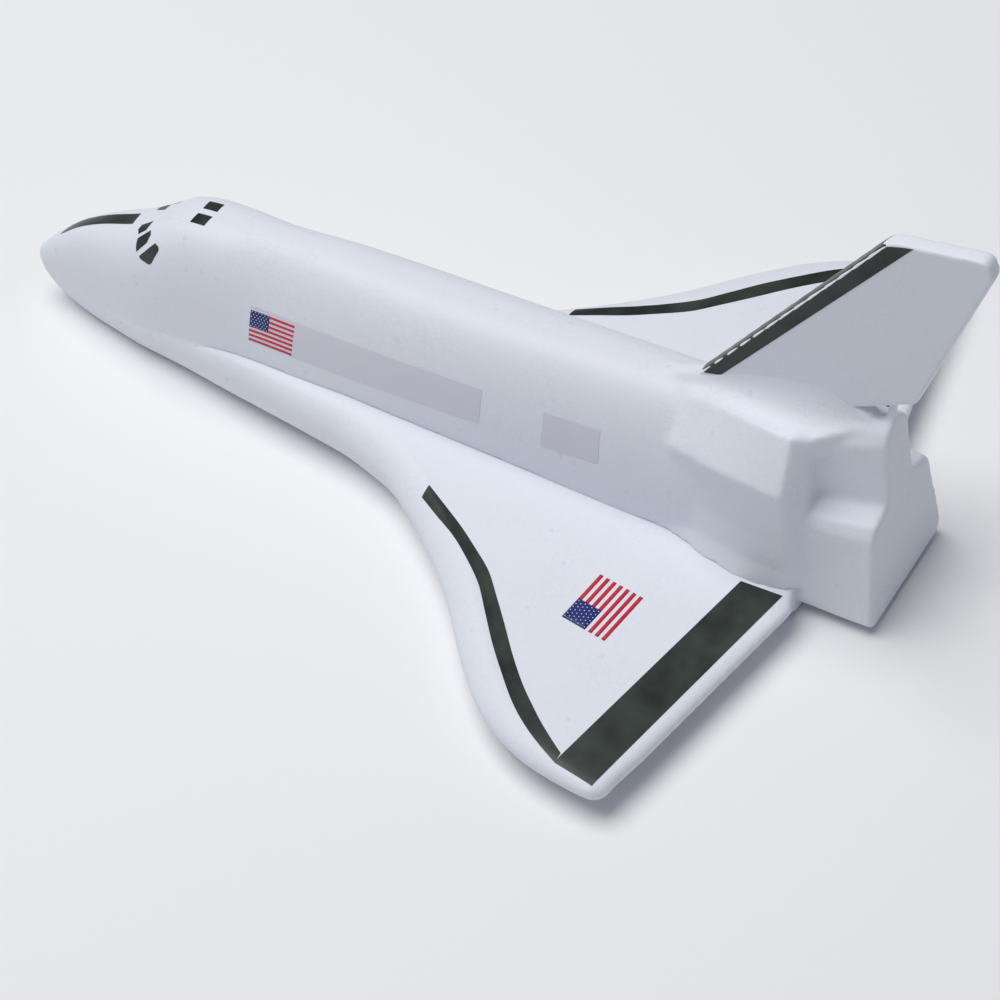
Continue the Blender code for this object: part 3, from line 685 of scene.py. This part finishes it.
def skin_of(*objects):
    """A search tree over the foam skins that a sticker lies on."""
    bm = bmesh.new()
    for obj in objects:
        bm.from_mesh(obj.data)
    tree = BVHTree.FromBMesh(bm)
    bm.free()
    return tree


BODY_SKIN = skin_of(body)
WING_SKIN = skin_of(wing)
FIN_SKIN = skin_of(tail)
DOWN = Vector((0, 0, -1))


def on_body(place):
    """The nearest spot on the fuselage, with the skin's direction there."""
    spot, normal, _, _ = BODY_SKIN.find_nearest(place)
    return spot, normal


def onto_body(place):
    """The spot on the fuselage straight below a place."""
    spot, normal, _, _ = BODY_SKIN.ray_cast(Vector((place.x, place.y, 0.1)), DOWN)
    return spot, normal


def on_fin(place):
    spot, normal, _, _ = FIN_SKIN.find_nearest(place)
    return spot, normal


def on_wing(place):
    spot, normal, _, _ = WING_SKIN.ray_cast(Vector((place.x, place.y, 0.1)), DOWN)
    return spot, normal


def quad_grid(corners, across, up):
    """Points between four corners, row by row from the first corner's side to the last's."""
    a, b, c, d = corners
    return [[a.lerp(b, i / across).lerp(d.lerp(c, i / across), j / up) for i in range(across + 1)]
            for j in range(up + 1)]


def film(bm, rows, snap, lift=LIFT, thick=FILM_THICK, index=0):
    """Lays a grid of points on the skin as a thin closed film."""
    top, low = [], []
    for row in rows:
        spots = [snap(p) for p in row]
        top.append([bm.verts.new(s + n * lift * MM) for s, n in spots])
        low.append([bm.verts.new(s + n * (lift - thick) * MM) for s, n in spots])
    height, width = len(rows) - 1, len(rows[0]) - 1
    made = []
    for j in range(height):
        for i in range(width):
            made.append(bm.faces.new((top[j][i], top[j][i + 1], top[j + 1][i + 1], top[j + 1][i])))
            made.append(bm.faces.new((low[j + 1][i], low[j + 1][i + 1], low[j][i + 1], low[j][i])))
    rim = ([(0, i) for i in range(width)] + [(j, width) for j in range(height)]
           + [(height, i) for i in range(width, 0, -1)] + [(j, 0) for j in range(height, 0, -1)])
    for (j, i), (m, k) in zip(rim, rim[1:] + rim[:1]):
        made.append(bm.faces.new((top[m][k], top[j][i], low[j][i], low[m][k])))
    for face in made:
        face.material_index = index
    return bm


def finish_film(name, bm, materials, slot, *nodes):
    bmesh.ops.recalc_face_normals(bm, faces=bm.faces)
    obj = mesh_object(name, bm)
    obj.data.set_sharp_from_angle(angle=math.radians(40))
    return dress(obj, materials, slot, *nodes)


def fan_rows(outline, rings=6):
    """Rows of points from an outline inwards, for a film with any convex outline."""
    middle = sum(outline, Vector()) / len(outline)
    loop = []
    for a, b in zip(outline, outline[1:] + outline[:1]):
        loop += [a.lerp(b, t / 4) for t in range(4)]
    return [[p.lerp(middle, r / rings) for p in loop] for r in range(rings)], middle


def patch(name, outline, snap, nodes, materials=(black_film,), slot="dark_sticker"):
    """A film with any convex outline."""
    bm = bmesh.new()
    rows, middle = fan_rows(outline)
    sides = []
    for level in (LIFT, LIFT - FILM_THICK):
        loops = []
        for row in rows:
            loops.append([bm.verts.new(s + n * level * MM) for s, n in map(snap, row)])
        s, n = snap(middle)
        hub = bm.verts.new(s + n * level * MM)
        for a, b in zip(loops, loops[1:]):
            for k in range(len(a)):
                m = (k + 1) % len(a)
                bm.faces.new((a[k], a[m], b[m], b[k]))
        last = loops[-1]
        for k in range(len(last)):
            bm.faces.new((last[k], last[(k + 1) % len(last)], hub))
        sides.append(loops[0])
    upper, lower = sides
    for k in range(len(upper)):
        m = (k + 1) % len(upper)
        bm.faces.new((upper[m], upper[k], lower[k], lower[m]))
    return finish_film(name, bm, materials, slot, *nodes)


# Nose stripe: station and half width at the ends of its port and then of its starboard edge.
NOSE_STRIPE = ((12.5, 1.7), (44.3, 2.4), (43.5, -2.5), (15.6, -1.7))
PANES = {
    "windscreen_front": ((53.2, 2.7, 45.9), (49.2, 3.5, 43.8), (48.9, 5.0, 43.3), (50.1, 6.7, 43.3),
                         (52.7, 5.9, 45.0), (53.0, 4.4, 45.5)),
    "windscreen_corner": ((55.1, 6.4, 46.1), (50.7, 7.9, 42.9), (51.0, 9.5, 41.6), (51.6, 10.7, 40.5),
                          (55.6, 9.5, 44.2), (56.2, 7.8, 46.0)),
    "windscreen_side": ((59.6, 10.3, 46.0), (61.3, 11.1, 45.8), (61.5, 11.7, 45.0), (58.7, 13.0, 40.5),
                        (57.5, 13.0, 39.7), (53.6, 11.9, 39.6), (53.1, 11.5, 40.1)),
}
OVERHEAD = ((69.7, 1.1, 52.9), (74.6, 1.1, 53.2), (74.3, 4.8, 52.8), (69.3, 4.7, 52.5))
SIDE_LABEL = ((93.6, 14.3, 38.7), (168.7, 15.3, 37.1), (167.6, 18.0, 26.8), (92.2, 17.1, 27.8))
SIDE_FLAG = ((93.6, 14.7, 37.3), (108.7, 15.2, 37.3), (107.1, 17.6, 27.8), (92.2, 17.1, 27.8))
AFT_LABEL = ((187.2, 15.3, 36.5), (203.9, 15.0, 36.5), (203.6, 17.7, 26.8), (186.5, 17.9, 26.3))
EDGE_STRIPE = (
    (162.0, 35.8, 39.6), (169.2, 39.7, 43.6), (176.7, 43.8, 47.6), (183.6, 48.2, 52.3), (190.7, 53.1, 58.0),
    (197.1, 59.5, 65.1), (203.7, 66.4, 72.5), (210.3, 73.5, 79.1), (217.4, 80.3, 85.7), (222.1, 84.1, 89.2),
    (226.7, 87.6, 92.0), (230.9, 90.4, 94.1), (235.6, 93.3, 96.2),
)
BAND = ((235.5, 96.2), (246.7, 97.8), (259.3, 25.1), (248.0, 25.8))
WING_FLAG = ((214.6, 57.1), (216.2, 40.7), (229.4, 42.3), (227.7, 58.8))
# Fin stripe, laid round the leading edge: distance up the edge at its foot and top, first at the edge and then at
# the stripe's inner side, and how far in that side lies at the foot and at the top.
FIN_STRIPE = (0.8, 77.4, 6.4, 85.0, 3.5, 4.5)
CANTON = (0.43, 0.54)       # the canton's share of a flag's length and height


def flag(name, corners, snap, nodes, ends=2, lift=LIFT + 0.03):
    """Seven red stripes and a blue canton with rows of dots, between four corners. The canton is at the first."""
    bm = bmesh.new()
    a, b, c, d = corners

    def at(u, v):
        return a.lerp(b, u).lerp(d.lerp(c, u), v)

    wide, tall = CANTON
    for k in range(7):
        low, high = 2 * k / 13, (2 * k + 1) / 13
        start = wide if low < tall - 0.02 else 0.0
        film(bm, quad_grid([at(start, low), at(1, low), at(1, high), at(start, high)], 12, 1), snap, lift)
    film(bm, quad_grid([at(0, 0), at(wide, 0), at(wide, tall), at(0, tall)], 8, 6), snap, lift, index=1)
    for row in range(7):
        count = 5 if row % 2 else 6
        for k in range(count):
            u = wide * (k + (1.0 if row % 2 else 0.5)) / 6
            v = tall * (row + 0.5) / 7
            s, n = snap(at(u, v))
            side = (b - a).normalized().cross(n).normalized()
            along = n.cross(side)
            ring = [bm.verts.new(s + n * (lift + 0.03) * MM + 0.16 * MM * (along * math.cos(t) + side * math.sin(t)))
                    for t in (math.pi * m / 4 for m in range(8))]
            face = bm.faces.new(ring)
            face.normal_update()
            if face.normal.dot(n) < 0:
                face.normal_flip()
            face.material_index = 2
    obj = mesh_object(name, bm)
    return dress(obj, [red_ink, blue_ink, white_ink], "clear_film", *nodes)


def stickers():
    bm = bmesh.new()
    film(bm, quad_grid([point(s, x, 60) for s, x in NOSE_STRIPE], 60, 6), onto_body)
    finish_film("nose_stripe_film", bm, [black_film], "dark_sticker", "nose_stripe")
    for side, m in (("left", 1), ("right", -1)):
        for name, corners in PANES.items():
            outline = [point(s, x * m, z) for s, x, z in corners]
            patch(f"{name}_film_{side}", outline, on_body, [f"{name}_{side}"])
        for name, corners, cells, stuff, slot in (
                ("overhead_window", OVERHEAD, (8, 8), black_film, "dark_sticker"),
                ("side_label", SIDE_LABEL, (90, 12), clear_film, "clear_film"),
                ("aft_label", AFT_LABEL, (20, 12), clear_film, "clear_film")):
            bm = bmesh.new()
            film(bm, quad_grid([point(s, x * m, z) for s, x, z in corners], *cells), on_body)
            finish_film(f"{name}_film_{side}", bm, [stuff], slot, f"{name}_{side}")
        flag(f"side_flag_{side}", [point(s, x * m, z) for s, x, z in SIDE_FLAG], on_body, [])
        border(side, m)
        fin_stripe(side, m)
    flag("wing_flag_print", [point(s, x, 12) for s, x in WING_FLAG], on_wing, ["wing_flag"], lift=LIFT)


def border(side, m):
    """The stripe along the leading edge, which goes on as a band in front of the trailing edge."""
    bm = bmesh.new()
    first, last = EDGE_STRIPE[0][0], EDGE_STRIPE[-1][0]
    rows = []
    for station in spaced(first, last, 1.0):
        near, far = read(EDGE_STRIPE, 1, station), read(EDGE_STRIPE, 2, station)
        rows.append([point(station, (near + (far - near) * k / 4) * m, 12) for k in range(5)])
    film(bm, rows, on_wing)
    film(bm, quad_grid([point(s, x * m, 12) for s, x in BAND], 12, 70), on_wing)
    finish_film(f"wing_border_film_{side}", bm, [black_film], "dark_sticker", f"wing_border_{side}")


def fin_stripe(side, m):
    """A stripe from the middle of the fin's leading edge round onto its side."""
    (foot_s, foot_z, _), (top_s, top_z, _) = FIN[0], FIN[-1]
    size = math.hypot(top_s - foot_s, top_z - foot_z)
    along, inward = ((top_s - foot_s) / size, (top_z - foot_z) / size), ((top_z - foot_z) / size, (foot_s - top_s) / size)
    start, end, inner_start, inner_end, width_start, width_end = FIN_STRIPE
    rows = []
    for j in range(13):
        row = []
        share = j / 12
        for i in range(81):
            up = i / 80
            width = width_start + (width_end - width_start) * up
            inset = width * share ** 1.5
            x = FIN_HALF * math.sqrt(max(0.0, 1 - (1 - min(1.0, inset / FIN_HALF)) ** 2))
            reach = (start + (inner_start - start) * share) * (1 - up) + (end + (inner_end - end) * share) * up
            row.append(point(foot_s + along[0] * reach + inward[0] * inset, x * m,
                             foot_z + along[1] * reach + inward[1] * inset))
        rows.append(row)
    bm = bmesh.new()
    film(bm, rows, on_fin)
    finish_film(f"fin_stripe_film_{side}", bm, [black_film], "dark_sticker", f"fin_stripe_{side}")


stickers()

# --- Hook and weight ---------------------------------------------------------------------------------------------------

hook = mesh_object("launch_hook_moulding", plate(HOOK, HOOK_HALF))
bevel = hook.modifiers.new("Bevel", "BEVEL")
bevel.width = 0.3 * MM
bevel.segments = 3
applied(hook)
dress(hook, [hook_plastic], "white_plastic", "launch_hook")
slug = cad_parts["nose_weight"]
slug.data.materials.clear()
slug.data.materials.append(weight_steel)


# --- Stage, light and camera -------------------------------------------------------------------------------------------

CAMERA_TURN = (129.16, 45.34, -10.41)   # azimuth, elevation and roll in degrees
CAMERA_SHIFT = (134.19, -63.80, 779.52)  # millimetres right, up and back of the nose tip's foot
CAMERA_ZOOM = 2589.78                   # focal length in pixels of the photograph's frame
FRAME_SIDE = 1000


def camera():
    azimuth, elevation, roll = (math.radians(v) for v in CAMERA_TURN)
    back = Vector((math.sin(azimuth) * math.cos(elevation), -math.cos(azimuth) * math.cos(elevation),
                   math.sin(elevation)))
    right = Vector((math.cos(azimuth), math.sin(azimuth), 0.0))
    up = back.cross(right)
    turned = right * math.cos(roll) + up * math.sin(roll)
    risen = up * math.cos(roll) - right * math.sin(roll)
    across, above, away = CAMERA_SHIFT
    place = (turned * across + risen * above + back * away) * MM
    place.y -= LENGTH / 2 * MM
    data = bpy.data.cameras.new("camera")
    data.sensor_width = 36.0
    data.lens = CAMERA_ZOOM * 36.0 / FRAME_SIDE
    data.clip_start, data.clip_end = 0.01, 20.0
    made = bpy.data.objects.new("camera", data)
    bpy.context.scene.collection.objects.link(made)
    turn = Matrix((turned, risen, back)).transposed()
    made.matrix_world = Matrix.Translation(place) @ turn.to_4x4()
    bpy.context.scene.camera = made


def stage():
    bm = bmesh.new()
    bmesh.ops.create_grid(bm, x_segments=1, y_segments=1, size=3.0)
    floor = mesh_object("floor", bm, smooth=False)
    floor.location.z = -0.0002
    paint = bpy.data.materials.new("pale_floor")
    paint.use_nodes = True
    shader = paint.node_tree.nodes["Principled BSDF"]
    shader.inputs["Base Color"].default_value = (0.93, 0.93, 0.94, 1)
    shader.inputs["Roughness"].default_value = 0.9
    shader.inputs["Specular IOR Level"].default_value = 0.1
    floor.data.materials.append(paint)


def lamp(name, place, target, size, power, colour):
    data = bpy.data.lights.new(name, "AREA")
    data.shape = "DISK"
    data.size = size
    data.energy = power
    data.color = colour
    made = bpy.data.objects.new(name, data)
    bpy.context.scene.collection.objects.link(made)
    made.location = place
    made.rotation_mode = "QUATERNION"
    made.rotation_quaternion = (Vector(target) - Vector(place)).to_track_quat("-Z", "Y")


def light():
    world = bpy.data.worlds.new("studio")
    bpy.context.scene.world = world
    world.use_nodes = True
    world.node_tree.nodes["Background"].inputs["Color"].default_value = (0.80, 0.86, 1.0, 1)
    world.node_tree.nodes["Background"].inputs["Strength"].default_value = 0.22
    lamp("overhead", (0.10, -0.30, 1.40), (0, 0, 0), 1.3, 17.0, (1.0, 0.99, 0.97))


camera()
stage()
light()
bpy.context.scene.view_settings.view_transform = "Standard"
